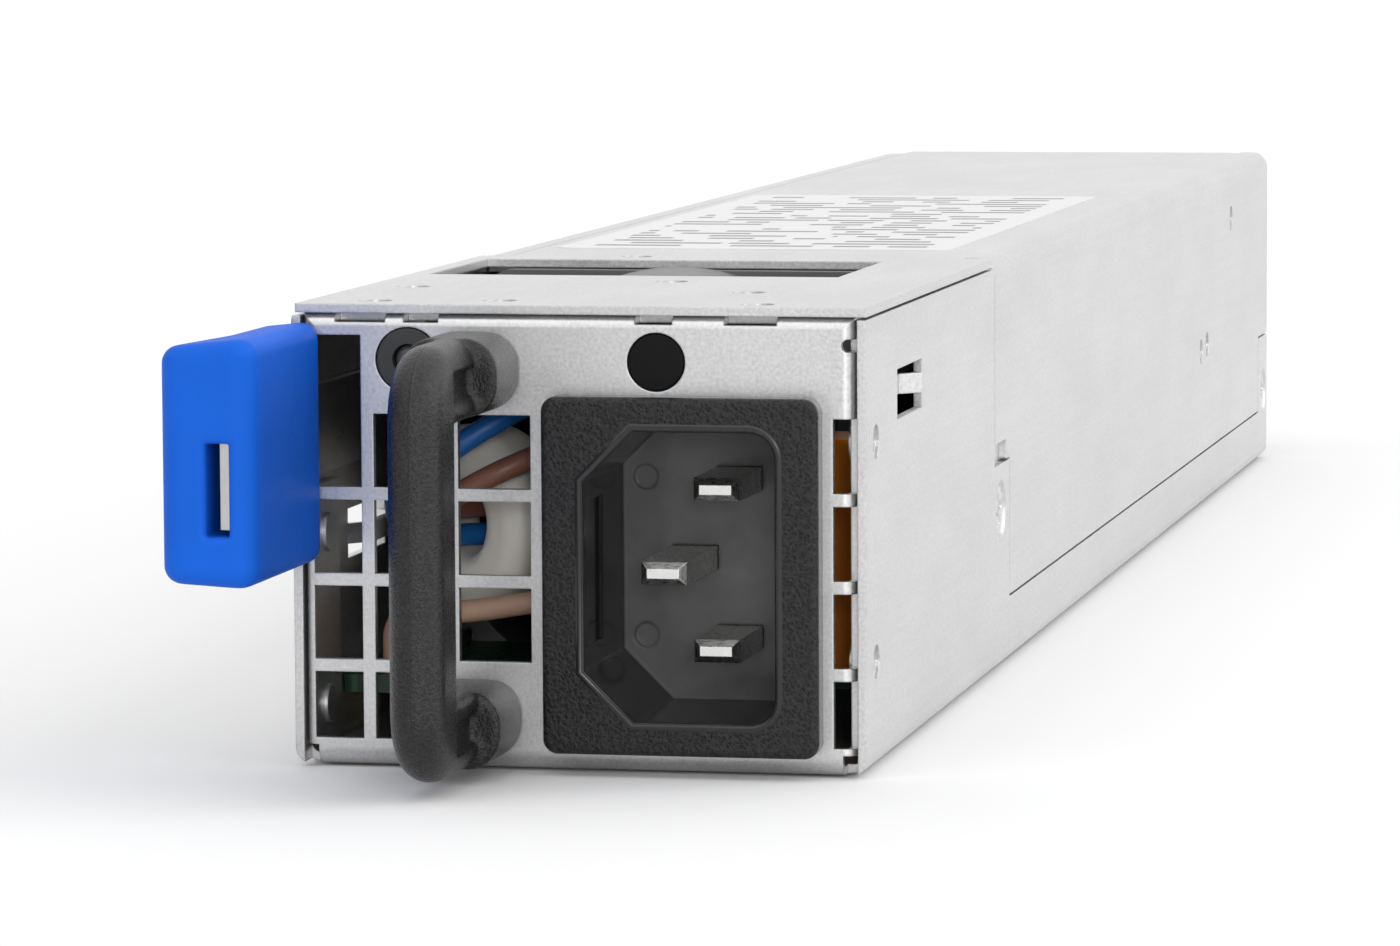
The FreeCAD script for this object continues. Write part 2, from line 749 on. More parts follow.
def make_cover():
    """Cover plate with its flap, its rear flange and the fan's cut-out."""
    body = new_body("top_cover")
    plate_left = f"({LEFT} + left_flange + seam)"
    plate = new_sketch(body, "XY_Plane", UNDER_COVER)
    polygon(plate, [
        (f"{LEFT} + cover_inset", "0"), (RIGHT, "0"), (RIGHT, "case_length"), (plate_left, "case_length"),
        (plate_left, "cover_step"), (f"{LEFT} + cover_inset", "cover_step"),
    ])
    pad(body, plate, "gauge")
    flap = new_sketch(body, "YZ_Plane", IN_RIGHT)
    polygon(flap, [
        ("flap_front", UNDER_COVER), ("flap_front", "flap_notch_top"), ("flap_notch", "flap_notch_top"),
        ("flap_notch", "flap_step_top"), ("flap_step", "flap_step_top"), ("flap_step", "flap_low"),
        (REAR_NOTCH, "flap_low"), (REAR_NOTCH, "ear_top"),
        ("case_length", "ear_top"), ("case_length", UNDER_COVER),
    ])
    pad(body, flap, "gauge")
    drop = new_sketch(body, "XZ_Plane", "-(case_length - gauge)")
    rectangle(drop, f"{plate_left} + relief_width", f"{RIGHT} - rear_relief - relief_width",
              "case_height - rear_flange", UNDER_COVER)
    pad(body, drop, "gauge", reverse=True)
    lip = new_sketch(body, "XZ_Plane", "-(cover_step + 2 * seam)")
    rectangle(lip, f"{IN_LEFT} + seam", f"{plate_left} + left_flange / 2",
              f"{UNDER_COVER} - gauge", UNDER_COVER)
    pad(body, lip, "case_length - rear_corner - cover_step - 2 * seam", reverse=True)
    openings = new_sketch(body, "XY_Plane", "case_height")
    half = f"({FAN_SIDE} / 2 + fan_slot_side)"
    rectangle(openings, f"{FAN_X} - {half}", f"{FAN_X} + {half}", "fan_slot_front", "fan_slot_rear")
    rectangle(openings, f"{RIGHT} - flap_bend - gauge", f"{RIGHT} + gauge",
              "flap_front - relief_width", "flap_front")
    rectangle(openings, f"{RIGHT} - rear_relief - relief_width", f"{RIGHT} - rear_relief",
              "case_length - relief_depth", "case_length + gauge")
    pocket(body, openings, "gauge")
    half_width = size("case_width") / 2
    top = size("case_height")
    length = size("case_length")
    flap_span = (size("flap_front"), length)
    fillet(body, edges_at(body, x=half_width, y=flap_span, z=top), "flap_bend")
    inner = half_width - size("gauge")
    fillet(body, edges_at(body, x=inner, y=flap_span, z=top - size("gauge")), "flap_bend - gauge")
    rear_right = half_width - size("rear_relief") - size("relief_width")
    fillet(body, edges_at(body, x=(-half_width, rear_right), y=length, z=top), "bend_radius")
    marks = new_sketch(body, "XY_Plane", "case_height")
    for across, deep in PLATE_MARKS:
        circle(marks, across, deep, "dimple_radius")
    pocket(body, marks, "dimple_depth")
    side_marks = new_sketch(body, "YZ_Plane", RIGHT)
    for deep, up in FLAP_MARKS:
        circle(side_marks, f"case_length - {deep}", up, "dimple_radius")
    pocket(body, side_marks, "dimple_depth")


def make_case_screws():
    """Countersunk screws in the right wall, each with its cross recess left plain."""
    screws = []
    for step, (deep, up, wall) in enumerate(SIDE_SCREWS):
        cone_height = "(screw_head_radius - screw_radius)"
        head = primitive(
            "Cone", f"screw_head_{step}", (f"{RIGHT} - {cone_height}", deep, up), ALONG_X,
            Radius1="screw_radius", Radius2="screw_head_radius", Height=cone_height,
        )
        shank = rod(f"screw_shank_{step}", (f"{RIGHT} - screw_length", deep, up),
                    "screw_radius", f"screw_length - {cone_height}", ALONG_X)
        screws.append(join(f"screw_{step}", head, shank))
    group("case_screws", screws)


def make_inlet():
    """Three-pole appliance inlet on its side, with its socket open to the front."""
    body = new_body("inlet_housing", "inlet_x", "0", "inlet_z")
    flange = new_sketch(body, "XZ_Plane")
    rectangle(flange, "-inlet_flange_width / 2", "inlet_flange_width / 2",
              "-inlet_flange_height / 2", "inlet_flange_height / 2")
    pad(body, flange, "inlet_flange")
    half_width = size("inlet_flange_width") / 2
    half_height = size("inlet_flange_height") / 2
    front = -size("inlet_flange")
    corners = [name for x in (-half_width, half_width) for z in (-half_height, half_height)
               for name in edges_at(body, x=x, z=z)]
    fillet(body, corners, "0.5 * inlet_flange")
    fillet(body, edges_at(body, y=front), "0.22 * inlet_flange")
    back = new_sketch(body, "XZ_Plane")
    rectangle(back, "-inlet_body_width / 2", "inlet_body_width / 2",
              "-inlet_body_height / 2", "inlet_body_height / 2")
    pad(body, back, "inlet_body_depth", reverse=True)
    mouth = new_sketch(body, "XZ_Plane", "inlet_flange")
    across = "mouth_width / 2"
    up = "mouth_height / 2"
    polygon(mouth, [
        (f"-{across} + mouth_chamfer", f"-{up}"), (across, f"-{up}"), (across, up),
        (f"-{across} + mouth_chamfer", up), (f"-{across}", f"{up} - mouth_chamfer"),
        (f"-{across}", f"-{up} + mouth_chamfer"),
    ])
    pocket(body, mouth, "mouth_depth")
    right_corners = [name for z in (-1, 1)
                     for name in edges_at(body, x=size("mouth_width") / 2, z=z * size("mouth_height") / 2)]
    fillet(body, right_corners, "mouth_corner")
    slots = new_sketch(body, "XZ_Plane", "-(mouth_depth - inlet_flange)")
    for across, up in PINS.values():
        rectangle(slots, f"{across} - pin_width / 2 - pin_fit", f"{across} + pin_width / 2 + pin_fit",
                  f"{up} - pin_thick / 2 - pin_fit", f"{up} + pin_thick / 2 + pin_fit")
    pocket(body, slots, "inlet_body_depth")
    marks = new_sketch(body, "XZ_Plane", "-(mouth_depth - inlet_flange)")
    for side in (-1, 1):
        circle(marks, "-mouth_width / 2 + pin_width / 2", f"{side} * pin_pitch / 2", "1.1 * pin_thick / 2")
    pocket(body, marks, "dimple_depth")
    catch = new_sketch(body, "YZ_Plane", "-mouth_width / 2")
    rectangle(catch, "0", "mouth_depth / 3", "-mouth_height / 4", "mouth_height / 4")
    pocket(body, catch, "dimple_depth")


# Pin centres measured from the middle of the inlet
PINS = {
    "neutral_pin": ("pin_row / 2", "pin_pitch / 2"),
    "line_pin": ("pin_row / 2", "-pin_pitch / 2"),
    "earth_pin": ("-pin_row / 2", "0"),
}


def make_pins():
    for label, (across, up) in PINS.items():
        recess = "earth_recess" if label == "earth_pin" else "pin_recess"
        tip = f"({recess} - inlet_flange)"
        body = new_body(label, f"inlet_x + {across}", tip, f"inlet_z + {up}")
        blade = new_sketch(body, "XZ_Plane")
        rectangle(blade, "-pin_width / 2", "pin_width / 2", "-pin_thick / 2", "pin_thick / 2")
        pad(body, blade, f"inlet_body_depth + pin_tail - {tip}", reverse=True)
        chamfer(body, edges_at(body, y=0), "pin_bevel")


def make_handle():
    """U-shaped grip with rounded bends and hollowed legs, standing on two round feet."""
    body = new_body("handle", "handle_x", "0", "case_height / 2")
    back = "handle_depth - handle_reach"
    top, inner_top, inner_low, low = [
        f"({end} * {HANDLE_PITCH} / 2 + {side} * leg_height / 2 - handle_drop)"
        for end, side in ((1, 1), (1, -1), (-1, 1), (-1, -1))
    ]
    grip = new_sketch(body, "YZ_Plane", "-handle_width / 2")
    polygon(grip, [
        ("0", top), ("-handle_reach", top), ("-handle_reach", low), ("0", low),
        ("0", inner_low), (back, inner_low), (back, inner_top), ("0", inner_top),
    ])
    pad(body, grip, "handle_width")
    front_y = -size("handle_reach")
    back_y = front_y + size("handle_depth")
    outer = size("case_height") / 2 - size("handle_margin") + size("leg_height") / 2
    inner = outer - size("leg_height")
    drop = size("handle_drop")
    bends = edges_at(body, y=front_y, z=outer - drop) + edges_at(body, y=front_y, z=-outer - drop)
    fillet(body, bends, "handle_outer_bend")
    bends = edges_at(body, y=back_y, z=inner - drop) + edges_at(body, y=back_y, z=-inner - drop)
    fillet(body, bends, "handle_inner_bend")
    half = size("handle_width") / 2
    rims = [name for side in (-half, half) for name in edges_at(body, x=side, y=(front_y, 0))
            if name not in edges_at(body, y=0)]
    fillet(body, rims, "handle_edge")
    for side in (-1, 1):
        recess = new_sketch(body, "YZ_Plane", f"{side} * handle_width / 2")
        rectangle(recess, f"{back} - leg_rim", "-foot_depth", f"{inner_top} + leg_rim", f"{top} - leg_rim")
        rectangle(recess, f"{back} - leg_rim", "-foot_depth", f"{low} + leg_rim", f"{inner_low} - leg_rim")
        pocket(body, recess, "leg_recess", reverse=side < 0)
    add_feet(body)


def add_feet(body):
    """Round feet at the ends of the legs, with their screw holes."""
    feet = new_sketch(body, "XZ_Plane")
    holes = new_sketch(body, "XZ_Plane")
    for side in (-1, 1):
        centre = f"{side} * {HANDLE_PITCH} / 2"
        circle(feet, "0", centre, "foot_radius")
        circle(holes, "0", centre, "handle_screw_radius")
    pad(body, feet, "foot_depth")
    pocket(body, holes, "handle_screw_grip + seam", reverse=True)


def make_handle_screws():
    screws = []
    for side in (-1, 1):
        up = f"case_height / 2 + {side} * {HANDLE_PITCH} / 2"
        shank = rod(f"handle_shank_{side}", ("handle_x", "-handle_screw_grip", up),
                    "handle_screw_radius", "handle_screw_grip + gauge", ALONG_Y)
        head = rod(f"handle_head_{side}", ("handle_x", "gauge", up), "handle_screw_head",
                   "handle_screw_radius", ALONG_Y)
        screws.append(join(f"handle_screw_{side}", shank, head))
    group("handle_screws", screws)


def make_indicators():
    """Dark round window of the panel, and the lamp in its holder."""
    window = new_body("status_window", "status_x", "0", "status_z")
    face = new_sketch(window, "XZ_Plane")
    circle(face, "0", "0", "status_radius")
    pad(window, face, "2 * gauge", reverse=True)
    holder = new_body("led_holder", "led_x", "0", "status_z")
    ring = new_sketch(holder, "XZ_Plane")
    circle(ring, "0", "0", "led_radius")
    circle(ring, "0", "0", "led_radius / 2")
    pad(holder, ring, "3 * gauge", reverse=True)
    lamp = new_body("status_led", "led_x", "gauge / 2", "status_z")
    dome = new_sketch(lamp, "XZ_Plane")
    circle(dome, "0", "0", "led_radius / 2 - pin_fit")
    pad(lamp, dome, "4 * gauge", reverse=True)
    fillet(lamp, edges_at(lamp, y=0), "led_radius / 4")


# The latch's strip lies just inside the left wall
ARM_LEFT = f"({IN_LEFT} + arm_gap)"
ARM_RIGHT = f"({ARM_LEFT} + gauge)"


def make_latch_arm():
    """Spring strip with its hook; its front end is set outwards and carries the tab."""
    body = new_body("latch_arm")
    bend = "(joggle_front - joggle_length)"
    band = new_sketch(body, "XY_Plane", "arm_low")
    polygon(band, [
        (ARM_LEFT, "joggle_front"), (ARM_LEFT, "pivot_y"), (ARM_RIGHT, "pivot_y"),
        (ARM_RIGHT, "joggle_front"), (f"{ARM_RIGHT} - joggle_out", bend),
        (f"{ARM_LEFT} - joggle_out", bend),
    ])
    pad(body, band, "arm_high - arm_low")
    head = new_sketch(body, "XY_Plane", "head_low")
    rectangle(head, f"{ARM_LEFT} - joggle_out", f"{ARM_RIGHT} - joggle_out", "gauge - tab_front", bend)
    pad(body, head, "head_high - head_low")
    hook = new_sketch(body, "XY_Plane", "hook_low")
    tip = f"({LEFT} - hook_reach)"
    polygon(hook, [
        (ARM_LEFT, "hook_front"), (ARM_LEFT, "hook_rear"),
        (tip, "hook_front + hook_reach"), (tip, "hook_front"),
    ])
    pad(body, hook, "hook_high - hook_low")
    end = size("pivot_y")
    arm_left = size("gauge") + size("arm_gap") - size("case_width") / 2
    arm_right = arm_left + size("gauge")
    rounds = edges_at(body, x=arm_left, y=end) + edges_at(body, x=arm_right, y=end)
    fillet(body, rounds, "0.499 * gauge")


def make_latch_foot():
    """Fixed end of the spring strip, riveted to the wall."""
    front = "(pivot_y + hinge_gap)"
    plate = block("foot_plate", (IN_LEFT, f"{IN_LEFT} + gauge"), (front, f"{front} + foot_plate_length"),
                  ("arm_low", "arm_high"))
    middle = "((arm_low + arm_high) / 2)"
    rivets = []
    bores = []
    for step in (1, 2):
        deep = f"({front} + {step} * foot_plate_length / 3)"
        start = f"{LEFT}"
        bores.append(rod(f"rivet_bore_{step}", (start, deep, middle), "rivet_radius", "3 * gauge", ALONG_X))
        shank = rod(f"rivet_shank_{step}", (IN_LEFT, deep, middle), "rivet_radius", "gauge", ALONG_X)
        head = rod(f"rivet_head_{step}", (f"{IN_LEFT} + gauge", deep, middle),
                   "1.35 * rivet_radius", "rivet_head", ALONG_X)
        rivets.append(join(f"rivet_{step}", shank, head))
    keep(cut("latch_foot", cut("foot_first_bore", plate, bores[0]), bores[1]), "latch_foot")
    group("latch_rivets", rivets)


# The tab's sides, measured from the case's left wall
TAB_OUT = f"({LEFT} - tab_out)"
TAB_WAIST = f"({LEFT} - tab_waist_out)"
TAB_IN = f"({LEFT} + tab_in)"


def make_release_tab():
    """Thumb tab: thick at the front, waisted behind, lower on its outer side, hollow for the strip."""
    body = new_body("release_tab")
    plan = new_sketch(body, "XY_Plane", "tab_low")
    polygon(plan, [
        (TAB_IN, "-tab_gap"), (TAB_WAIST, "-tab_gap"), (TAB_WAIST, "-tab_waist_y"),
        (TAB_OUT, "-tab_front"), (TAB_IN, "-tab_front"),
    ])
    pad(body, plan, "tab_high - tab_low")
    slopes = new_sketch(body, "XZ_Plane", "tab_front")
    ends = (("tab_high", "+ gauge", "- tab_draft"), ("tab_low", "- gauge", "+ tab_low_draft"))
    for level, beyond, draft in ends:
        polygon(slopes, [
            (TAB_OUT, f"{level} {draft}"), (TAB_IN, level),
            (TAB_IN, f"{level} {beyond}"), (TAB_OUT, f"{level} {beyond}"),
        ])
    pocket(body, slopes, "tab_front")
    shape_tab(body)
    slot = new_sketch(body, "XZ_Plane", "tab_front")
    rectangle(slot, f"{LEFT} - slot_out", f"{LEFT} + slot_in", "tab_slot_low", "tab_slot_high")
    pocket(body, slot, "tab_front + joggle_front - joggle_length + tab_fit")
    passage = new_sketch(body, "XY_Plane", "arm_high + tab_fit")
    bend = "(joggle_front - joggle_length)"
    polygon(passage, [
        (f"{ARM_LEFT} - tab_fit", "0"), (f"{ARM_RIGHT} + tab_fit", "0"),
        (f"{ARM_RIGHT} + tab_fit", "joggle_front"),
        (f"{ARM_RIGHT} - joggle_out + tab_fit", f"{bend} - tab_fit"),
        (f"{ARM_LEFT} - joggle_out - tab_fit", f"{bend} - tab_fit"),
        (f"{ARM_LEFT} - joggle_out - tab_fit", f"{bend}"), (f"{ARM_LEFT} - tab_fit", "joggle_front"),
    ])
    pocket(body, passage, "arm_high - arm_low + 2 * tab_fit")


def shape_tab(body):
    """Rounds the tab's corners, its waist and its upper and lower rims."""
    left = -size("case_width") / 2
    front = -size("tab_front")
    outer = edges_at(body, x=left - size("tab_out"), y=front)
    inner = edges_at(body, x=left + size("tab_in"), y=front)
    fillet(body, outer + inner, "tab_corner")
    fillet(body, edges_at(body, x=left - size("tab_waist_out"), y=-size("tab_waist_y")), "3 * tab_round")
    top = (size("tab_high") - size("tab_draft"), size("tab_high"))
    base = (size("tab_low"), size("tab_low") + size("tab_low_draft"))
    rear = edges_at(body, y=-size("tab_gap"))
    rims = [name for level in (top, base) for name in edges_at(body, z=level) if name not in rear]
    fillet(body, rims, "tab_round")


def make_fan_frame():
    """Square end plates joined by the barrel, with the motor base on struts at the rear."""
    body = new_body("fan_frame", FAN_X, "fan_front", FAN_Z)
    half = f"{FAN_SIDE} / 2"
    hole = f"({half} - fan_hole_inset)"
    for offset in ("0", "-(fan_depth - fan_plate)"):
        plate = new_sketch(body, "XZ_Plane", offset)
        rectangle(plate, f"-{half}", half, f"-{half}", half)
        circle(plate, "0", "0", FAN_BORE)
        for side in (-1, 1):
            for level in (-1, 1):
                circle(plate, f"{side} * {hole}", f"{level} * {hole}", "fan_hole")
        pad(body, plate, "fan_plate", reverse=True)
        if offset == "0":
            barrel = new_sketch(body, "XZ_Plane", "-fan_plate")
            circle(barrel, "0", "0", FAN_BORE)
            circle(barrel, "0", "0", f"{FAN_BORE} + fan_wall")
            pad(body, barrel, "fan_depth - 2 * fan_plate", reverse=True)
    outer = (size("case_height") - 2 * size("gauge") - size("fan_room")) / 2
    corners = [name for x in (-outer, outer) for z in (-outer, outer) for name in edges_at(body, x=x, z=z)]
    fillet(body, corners, "fan_corner")
    base = new_sketch(body, "XZ_Plane", "-(fan_depth - motor_base)")
    circle(base, "0", "0", "motor_radius")
    pad(body, base, "motor_base", reverse=True)
    reach = f"{FAN_BORE} + fan_rim / 2"
    for across, up in ((reach, "strut / 2"), ("strut / 2", reach)):
        struts = new_sketch(body, "XZ_Plane", "-(fan_depth - motor_base)")
        rectangle(struts, f"-({across})", across, f"-({up})", up)
        pad(body, struts, "motor_base", reverse=True)
    tube = new_sketch(body, "XZ_Plane", "-(hub_front + 3 * hub_wall)")
    circle(tube, "0", "0", "tube_radius")
    circle(tube, "0", "0", "bearing_radius")
    pad(body, tube, "fan_depth - motor_base - hub_front - 3 * hub_wall", reverse=True)


def make_fan_rotor():
    """Cup-shaped hub with swept blades, trimmed to the barrel."""
    body = new_body("fan_rotor", FAN_X, "fan_front", FAN_Z)
    cup = new_sketch(body, "XY_Plane")
    rear = "(fan_depth - motor_base - hub_gap)"
    polygon(cup, [
        ("0", "hub_front"), ("motor_radius", "hub_front"), ("motor_radius", rear),
        ("motor_radius - hub_wall", rear), ("motor_radius - hub_wall", "hub_front + hub_wall"),
        ("0", "hub_front + hub_wall"),
    ])
    turned(body, cup, "Y_Axis")
    sections = []
    root = "motor_radius - hub_wall / 2"
    for offset, lean in ((root, "0.6 * blade_sweep"), (f"{FAN_BORE} + fan_wall", "blade_sweep")):
        section = new_sketch(body, "YZ_Plane", offset)
        middle = "((blade_front + blade_rear) / 2)"
        polygon(section, [
            ("blade_front", lean), (middle, "0.15 * blade_sweep"), ("blade_rear", f"-{lean}"),
            ("blade_rear", f"-{lean} - blade_thick"), (middle, "0.15 * blade_sweep - 1.4 * blade_thick"),
            ("blade_front", f"{lean} - blade_thick"),
        ])
        sections.append(section)
    blade = body.newObject("PartDesign::AdditiveLoft", "Blade")
    blade.Profile = sections[0]
    blade.Sections = [sections[1]]
    doc.recompute()
    pattern = body.newObject("PartDesign::PolarPattern", "Blades")
    pattern.Originals = [blade]
    pattern.Axis = (next(item for item in body.Origin.OriginFeatures if item.Role == "Y_Axis"), [""])
    pattern.Angle = 360
    pattern.setExpression("Occurrences", bound("blades"))
    body.Tip = pattern
    doc.recompute()
    trim = new_sketch(body, "XZ_Plane")
    circle(trim, "0", "0", f"{FAN_BORE} - blade_tip_gap")
    circle(trim, "0", "0", f"{FAN_BORE} + 4 * fan_wall")
    pocket(body, trim, "fan_depth")


def make_fan_motor():
    """Shaft, bearing and stator on the motor base."""
    start = "(fan_front + hub_front + hub_wall)"
    keep(rod("fan_shaft", (FAN_X, start, FAN_Z), "shaft_radius",
             "fan_depth - motor_base - hub_front - hub_wall - hinge_gap", ALONG_Y), "fan_shaft")
    tube_front = "(fan_front + hub_front + 3 * hub_wall)"
    tube_length = "(fan_depth - motor_base - hub_front - 3 * hub_wall)"
    sleeve = rod("bearing_sleeve", (FAN_X, tube_front, FAN_Z), "bearing_radius", tube_length, ALONG_Y)
    bore = rod("bearing_bore", (FAN_X, tube_front, FAN_Z), "shaft_radius + bearing_fit", tube_length, ALONG_Y)
    keep(cut("fan_bearing", sleeve, bore), "fan_bearing")
    coil = rod("stator_outside", (FAN_X, f"{tube_front} + hub_wall", FAN_Z), "stator_radius",
               f"{tube_length} - hub_wall", ALONG_Y)
    inside = rod("stator_inside", (FAN_X, f"{tube_front} + hub_wall", FAN_Z), "tube_radius",
                 f"{tube_length} - hub_wall", ALONG_Y)
    keep(cut("fan_stator", coil, inside), "fan_stator")


BOARD_LEFT = f"({IN_LEFT} + board_gap)"
BOARD_RIGHT = f"({JOGGLE_IN} - board_gap)"
INLET_LEFT = "(inlet_x - inlet_body_width / 2)"


def make_boards():
    """Filter board beside the inlet, and the main board with its card edge at the rear."""
    filter_body = new_body("filter_board")
    outline = new_sketch(filter_body, "XY_Plane", "board_low")
    polygon(outline, [
        (BOARD_LEFT, "filter_front"), (f"{INLET_LEFT} - board_gap", "filter_front"),
        (f"{INLET_LEFT} - board_gap", "filter_step"), (BOARD_RIGHT, "filter_step"),
        (BOARD_RIGHT, "filter_rear"), (BOARD_LEFT, "filter_rear"),
    ])
    pad(filter_body, outline, "board_thick")
    main = new_body("main_board")
    rear = "(case_length - board_rear_gap)"
    shape = new_sketch(main, "XY_Plane", "board_low")
    polygon(shape, [
        (BOARD_LEFT, "main_front"), (BOARD_RIGHT, "main_front"), (BOARD_RIGHT, rear),
        ("card_width / 2", rear), ("card_width / 2", "case_length + card_reach"),
        ("-card_width / 2", "case_length + card_reach"),
        ("-card_width / 2", rear), (BOARD_LEFT, rear),
    ])
    pad(main, shape, "board_thick")
    holes = new_sketch(main, "XY_Plane", BOARD_TOP)
    for across, deep in MAIN_SCREWS:
        circle(holes, across, deep, "board_screw_radius + pin_fit")
    pocket(main, holes, "board_thick")
    small_holes = new_sketch(filter_body, "XY_Plane", BOARD_TOP)
    for across, deep in FILTER_SCREWS:
        circle(small_holes, across, deep, "board_screw_radius + pin_fit")
    pocket(filter_body, small_holes, "board_thick")
    sheet_body = new_body("insulator_sheet")
    film = new_sketch(sheet_body, "XY_Plane", "gauge")
    rectangle(film, f"{BOARD_LEFT} + board_gap", f"{BOARD_RIGHT} - board_gap", "main_front", rear)
    for across, deep in MAIN_SCREWS:
        circle(film, across, deep, "standoff_radius + seam")
    pad(sheet_body, film, "film")


FILTER_SCREWS = [
    (f"({BOARD_LEFT} + 1.5 * standoff_radius)", "(filter_rear - 1.5 * standoff_radius)"),
    (f"({BOARD_RIGHT} - 6 * standoff_radius)", "(filter_rear - 1.5 * standoff_radius)"),
]
SINK_LENGTH = "((sink_fins - 1) * fin_pitch + fin_thick)"
SINK_FRONT = {"first": "first_sink_front", "second": "(case_length - second_sink_rear)"}
SCREW_ROWS = [
    "(main_front + 1.5 * standoff_radius)",
    f"(({SINK_FRONT['first']} + {SINK_LENGTH} + {SINK_FRONT['second']}) / 2)",
    "(case_length - board_rear_gap - 3 * standoff_radius)",
]
MAIN_SCREWS = [
    (f"({edge} {sign} 1.5 * standoff_radius)", deep)
    for edge, sign in ((BOARD_LEFT, "+"), (BOARD_RIGHT, "-")) for deep in SCREW_ROWS
]


def make_board_fixings():
    """Standoffs on the floor and the screws that hold the boards on them."""
    standoffs = []
    screws = []
    for step, (across, deep) in enumerate(FILTER_SCREWS + MAIN_SCREWS):
        post = rod(f"post_{step}", (across, deep, "gauge"), "standoff_radius", "board_low - gauge")
        bore = rod(f"post_bore_{step}", (across, deep, "gauge"), "board_screw_radius", "board_low - gauge")
        standoffs.append(cut(f"standoff_{step}", post, bore))
        shank = rod(f"board_shank_{step}", (across, deep, "gauge + film"), "board_screw_radius",
                    f"{BOARD_TOP} - gauge - film")
        head = rod(f"board_head_{step}", (across, deep, BOARD_TOP), "board_screw_head", "board_screw_height")
        screws.append(join(f"board_screw_{step}", shank, head))
    group("board_standoffs", standoffs)
    group("board_screws", screws)


def make_filter_parts():
    """Cream core that hangs on the wires through it, and the capacitor on the filter board."""
    core = new_body("toroid_core", "core_x", "core_front", "core_z")
    core.Placement.Rotation = FreeCAD.Rotation(FreeCAD.Vector(0, 0, 1), -size("core_turn"))
    section = new_sketch(core, "XY_Plane")
    rectangle(section, "core_inner", "core_outer", "0", "core_thick")
    turned(core, section, "Y_Axis")
    fillet(core, edges_at(core, y=0) + edges_at(core, y=size("core_thick")), "core_round")
    capacitor = new_body("x_capacitor")
    case = new_sketch(capacitor, "XY_Plane", BOARD_TOP)
    rectangle(case, "xcap_left", "xcap_right", "xcap_front", "xcap_front + xcap_depth")
    pad(capacitor, case, "xcap_height")
    top = size("board_low") + size("board_thick") + size("xcap_height")
    fillet(capacitor, edges_at(capacitor, z=top), "0.6 * gauge")


def wound_ring(label, front):
    """A ring core standing on the main board, with two windings round it."""
    axis_height = f"{BOARD_TOP} + choke_outer + winding"
    core = new_body(f"{label}_core", "choke_x", front, axis_height)
    section = new_sketch(core, "XY_Plane")
    rectangle(section, "choke_inner", "choke_outer", "0", "choke_thick")
    turned(core, section, "Y_Axis")
    coil = new_body(f"{label}_winding", "choke_x", front, axis_height)
    layer = new_sketch(coil, "XY_Plane")
    rectangle(layer, "choke_inner - winding", "choke_outer + winding", "-winding", "choke_thick + winding")
    rectangle(layer, "choke_inner", "choke_outer", "0", "choke_thick")
    wrap = turned(coil, layer, "Y_Axis")
    wrap.setExpression("Angle", bound("winding_angle"))
    wrap.Midplane = True
    pattern = coil.newObject("PartDesign::PolarPattern", "Windings")
    pattern.Originals = [wrap]
    pattern.Axis = (next(item for item in coil.Origin.OriginFeatures if item.Role == "Y_Axis"), [""])
    pattern.Angle = 360
    pattern.Occurrences = 2
    coil.Tip = pattern
    doc.recompute()


def make_bulk_capacitors():
    """Two large capacitors lying along the board."""
    cans = []
    for step in range(2):
        place = ("bulk_x", f"bulk_front + {step} * bulk_pitch", f"{BOARD_TOP} + bulk_radius")
        cans.append(rod(f"bulk_can_{step}", place, "bulk_radius", "bulk_length", ALONG_Y))
    group("bulk_capacitors", cans)


def make_heatsinks():
    """Two finned plates along the board and the power devices on them."""
    devices = []
    plate_right = "(sink_left + sink_thick)"
    for order, front in SINK_FRONT.items():
        body = new_body(f"{order}_heatsink")
        plate = new_sketch(body, "XY_Plane", BOARD_TOP)
        rectangle(plate, "sink_left", plate_right, front, f"{front} + {SINK_LENGTH}")
        pad(body, plate, "sink_height")
        rib = new_sketch(body, "XY_Plane", BOARD_TOP)
        rectangle(rib, f"{plate_right} - fin_thick / 2", f"{plate_right} + fin_reach",
                  front, f"{front} + fin_thick")
        fin = pad(body, rib, "sink_height")
        pattern = body.newObject("PartDesign::LinearPattern", "Fins")
        pattern.Originals = [fin]
        pattern.Direction = (next(item for item in body.Origin.OriginFeatures if item.Role == "Y_Axis"), [""])
        pattern.setExpression("Length", bound("(sink_fins - 1) * fin_pitch"))
        pattern.setExpression("Occurrences", bound("sink_fins"))
        body.Tip = pattern
        doc.recompute()
        for step in range(4):
            start = f"({front} + {step} * device_pitch + fin_pitch)"
            devices.append(block(
                f"{order}_device_{step}", ("(sink_left - device_thick)", "sink_left"),
                (start, f"({start} + device_width)"),
                (f"({BOARD_TOP} + device_lift)", f"({BOARD_TOP} + device_lift + device_height)"),
            ))
    group("power_devices", devices)


